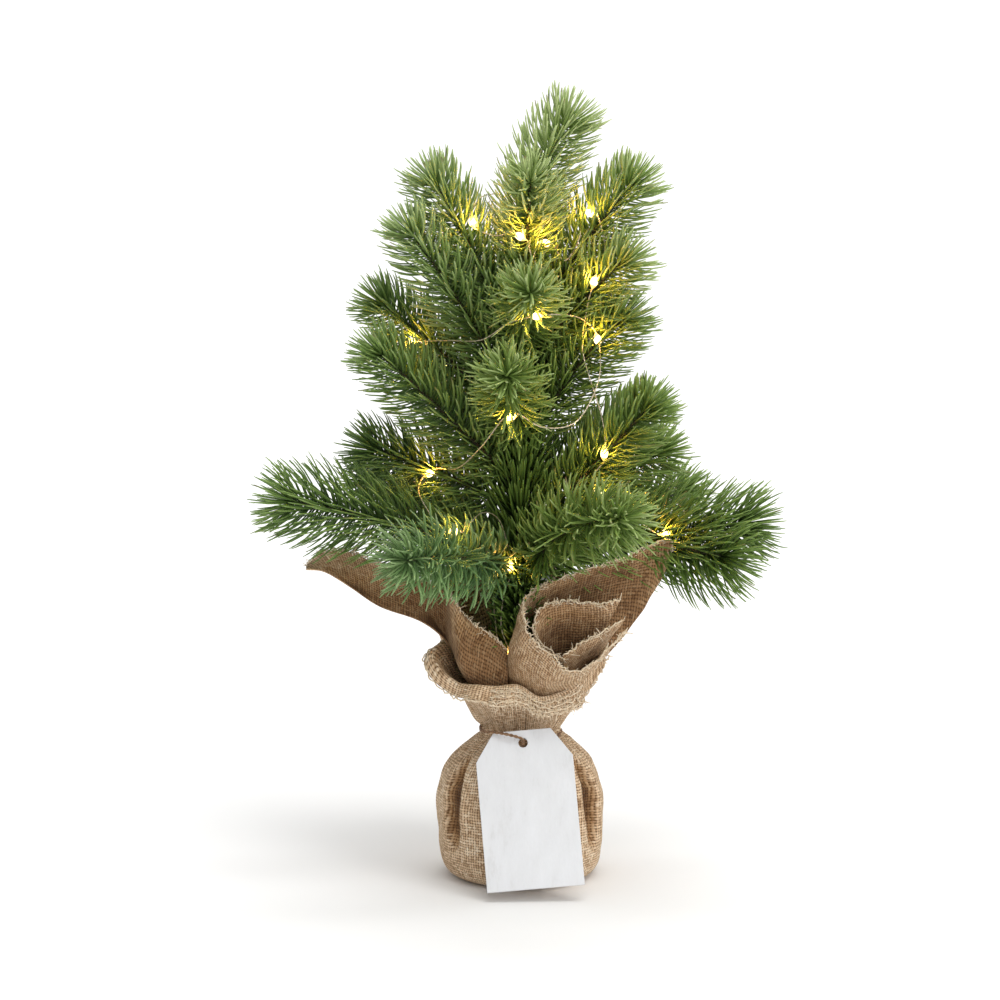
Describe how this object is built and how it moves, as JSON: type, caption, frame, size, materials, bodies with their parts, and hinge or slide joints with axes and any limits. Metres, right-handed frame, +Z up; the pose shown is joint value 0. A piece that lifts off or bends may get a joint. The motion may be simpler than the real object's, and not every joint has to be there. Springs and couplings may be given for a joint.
{
  "type": "artificial tabletop tree",
  "caption": "Small artificial fir with bendable needle sprays, a weighted pot in a burlap wrap tied with twine, a blank wooden tag and a battery string of warm lights.",
  "frame": {"origin": "the middle of the sack's flat underside, on the trunk's axis, on the surface that the tree stands on", "axes": "+Z up along the trunk; -Y towards the front, where the tag hangs; +X to the right as seen from the front"},
  "size_m": [0.2987, 0.2218, 0.4438],
  "materials": {
    "needles": "satin moulded polyethylene",
    "tape": "waxed crepe stem tape",
    "steel": "plain drawn wire and sheet",
    "cement": "cast cement, matt",
    "pot": "thin moulded polypropylene",
    "burlap": "open plain weave jute, matt and hairy",
    "twine": "two-ply brown jute twine",
    "tag_wood": "whitewashed plywood, fine grain showing",
    "box_plastic": "fine spark-eroded texture",
    "switch_plastic": "satin",
    "cell_jacket": "glossy printed sleeve, plain",
    "wire": "lacquered champagne copper wire",
    "bead": "clear resin drop over a warm diode, lit"
  },
  "bodies": {
    "root": {"weight_pot": "pot", "base_weight": "cement", "trunk_rod": "steel", "trunk_tape": "tape", "burlap_sack": "burlap", "burlap_fold": "burlap", "neck_twine": "twine", "battery_case": "box_plastic", "contact_bottom": "steel", "contact_top": "steel", "cell_left": "cell_jacket", "cell_right": "cell_jacket", "led_01": "bead", "light_wire": "wire"},
    "leader": {"branch_leader": "needles"},
    "crown_front": {"branch_crown_front": "needles", "led_16": "bead", "led_17": "bead"},
    "crown_left": {"branch_crown_left": "needles", "led_18": "bead"},
    "crown_right": {"branch_crown_right": "needles", "led_15": "bead"},
    "upper_left": {"branch_upper_left": "needles"},
    "upper_right": {"branch_upper_right": "needles", "led_14": "bead"},
    "upper_front": {"branch_upper_front": "needles", "led_07": "bead"},
    "mid_left_back": {"branch_mid_left_back": "needles", "led_08": "bead"},
    "mid_left": {"branch_mid_left": "needles"},
    "mid_right": {"branch_mid_right": "needles", "led_06": "bead"},
    "mid_front": {"branch_mid_front": "needles", "led_05": "bead"},
    "low_right": {"branch_low_right": "needles", "led_12": "bead", "led_13": "bead"},
    "low_left": {"branch_low_left": "needles", "led_04": "bead"},
    "bottom_left": {"branch_bottom_left": "needles"},
    "front_left": {"branch_front_left": "needles", "led_02": "bead", "led_03": "bead"},
    "front_right": {"branch_front_right": "needles"},
    "bottom_right": {"branch_bottom_right": "needles", "led_11": "bead"},
    "back_crown": {"branch_back_crown": "needles", "led_19": "bead"},
    "back_left_upper": {"branch_back_left_upper": "needles"},
    "back_right_upper": {"branch_back_right_upper": "needles"},
    "back_middle": {"branch_back_middle": "needles"},
    "back_left": {"branch_back_left": "needles", "led_09": "bead"},
    "back_right": {"branch_back_right": "needles"},
    "back_left_low": {"branch_back_left_low": "needles"},
    "back_right_low": {"branch_back_right_low": "needles", "led_10": "bead"},
    "tag": {"tag": "tag_wood"},
    "battery_lid": {"battery_lid": "box_plastic"},
    "switch_knob": {"switch_knob": "switch_plastic"}
  },
  "joints": [
    {"name": "leader_bend", "type": "hinge", "parent": "root", "child": "leader", "pos_m": [0, 0, 0.3408], "axis": [0.1168, -0.9932, 0], "range_deg": [-15, 6], "deforming": ["light_wire"]},
    {"name": "crown_front_bend", "type": "hinge", "parent": "root", "child": "crown_front", "pos_m": [0.00176, -0.00615, 0.332], "axis": [-0.9615, -0.2747, 0], "range_deg": [-15, 8]},
    {"name": "crown_left_bend", "type": "hinge", "parent": "root", "child": "crown_left", "pos_m": [-0.00637, -0.00058, 0.306], "axis": [-0.0905, 0.9959, 0], "range_deg": [-10, 12]},
    {"name": "crown_right_bend", "type": "hinge", "parent": "root", "child": "crown_right", "pos_m": [0.00638, 0.00049, 0.316], "axis": [0.0767, -0.9971, 0], "range_deg": [-12, 15]},
    {"name": "upper_left_bend", "type": "hinge", "parent": "root", "child": "upper_left", "pos_m": [-0.00621, -0.00155, 0.274], "axis": [-0.2425, 0.9701, 0], "range_deg": [-15, 4]},
    {"name": "upper_right_bend", "type": "hinge", "parent": "root", "child": "upper_right", "pos_m": [0.00628, -0.00126, 0.296], "axis": [-0.1961, -0.9806, 0], "range_deg": [-8, 8]},
    {"name": "upper_front_bend", "type": "hinge", "parent": "root", "child": "upper_front", "pos_m": [0.00036, -0.00639, 0.305], "axis": [-0.9985, -0.0555, 0], "range_deg": [-15, 15]},
    {"name": "mid_left_back_bend", "type": "hinge", "parent": "root", "child": "mid_left_back", "pos_m": [-0.00607, 0.00202, 0.262], "axis": [0.3162, 0.9487, 0], "range_deg": [-15, 15]},
    {"name": "mid_left_bend", "type": "hinge", "parent": "root", "child": "mid_left", "pos_m": [-0.00619, -0.00163, 0.228], "axis": [-0.2545, 0.9671, 0], "range_deg": [-15, 15]},
    {"name": "mid_right_bend", "type": "hinge", "parent": "root", "child": "mid_right", "pos_m": [0.00631, -0.00105, 0.25], "axis": [-0.1644, -0.9864, 0], "range_deg": [-15, 4]},
    {"name": "mid_front_bend", "type": "hinge", "parent": "root", "child": "mid_front", "pos_m": [-0.00091, -0.00634, 0.254], "axis": [-0.99, 0.1414, 0], "range_deg": [-15, 15]},
    {"name": "low_right_bend", "type": "hinge", "parent": "root", "child": "low_right", "pos_m": [0.00628, -0.00126, 0.2], "axis": [-0.1961, -0.9806, 0], "range_deg": [-15, 15]},
    {"name": "low_left_bend", "type": "hinge", "parent": "root", "child": "low_left", "pos_m": [-0.00635, 0.00083, 0.212], "axis": [0.1293, 0.9916, 0], "range_deg": [-15, 15]},
    {"name": "bottom_left_bend", "type": "hinge", "parent": "root", "child": "bottom_left", "pos_m": [-0.00639, -0.00037, 0.184], "axis": [-0.057, 0.9984, 0], "range_deg": [-10, 15]},
    {"name": "front_left_bend", "type": "hinge", "parent": "root", "child": "front_left", "pos_m": [-0.00403, -0.00497, 0.178], "axis": [-0.7772, 0.6292, 0], "range_deg": [-15, 15]},
    {"name": "front_right_bend", "type": "hinge", "parent": "root", "child": "front_right", "pos_m": [0.00333, -0.00547, 0.176], "axis": [-0.8542, -0.5199, 0], "range_deg": [-12, 15]},
    {"name": "bottom_right_bend", "type": "hinge", "parent": "root", "child": "bottom_right", "pos_m": [0.00639, 0.00034, 0.183], "axis": [0.0526, -0.9986, 0], "range_deg": [-10, 15]},
    {"name": "back_crown_bend", "type": "hinge", "parent": "root", "child": "back_crown", "pos_m": [0.00114, 0.0063, 0.322], "axis": [0.9839, -0.1789, 0], "range_deg": [-15, 15]},
    {"name": "back_left_upper_bend", "type": "hinge", "parent": "root", "child": "back_left_upper", "pos_m": [-0.00273, 0.00579, 0.288], "axis": [0.9048, 0.4258, 0], "range_deg": [-15, 15]},
    {"name": "back_right_upper_bend", "type": "hinge", "parent": "root", "child": "back_right_upper", "pos_m": [0.00308, 0.00561, 0.27], "axis": [0.8762, -0.4819, 0], "range_deg": [-15, 15]},
    {"name": "back_middle_bend", "type": "hinge", "parent": "root", "child": "back_middle", "pos_m": [-0.00021, 0.0064, 0.246], "axis": [0.9994, 0.0333, 0], "range_deg": [-15, 15]},
    {"name": "back_left_bend", "type": "hinge", "parent": "root", "child": "back_left", "pos_m": [-0.00376, 0.00518, 0.236], "axis": [0.8087, 0.5882, 0], "range_deg": [-15, 15]},
    {"name": "back_right_bend", "type": "hinge", "parent": "root", "child": "back_right", "pos_m": [0.00453, 0.00453, 0.22], "axis": [0.7071, -0.7071, 0], "range_deg": [-15, 15]},
    {"name": "back_left_low_bend", "type": "hinge", "parent": "root", "child": "back_left_low", "pos_m": [-0.00487, 0.00415, 0.19], "axis": [0.6485, 0.7612, 0], "range_deg": [-15, 15]},
    {"name": "back_right_low_bend", "type": "hinge", "parent": "root", "child": "back_right_low", "pos_m": [0.0051, 0.00387, 0.188], "axis": [0.6044, -0.7967, 0], "range_deg": [-15, 15]},
    {"name": "tag_lift", "type": "hinge", "parent": "root", "child": "tag", "pos_m": [0.001, -0.036, 0.0835], "axis": [-1, 0, 0], "range_deg": [0, 60]},
    {"name": "lid_slide", "type": "slide", "parent": "root", "child": "battery_lid", "axis": [0, 0, 1], "range_m": [0, 0.066]},
    {"name": "switch_slide", "type": "slide", "parent": "root", "child": "switch_knob", "axis": [0, 0, 1], "range_m": [0, 0.003]}
  ]
}
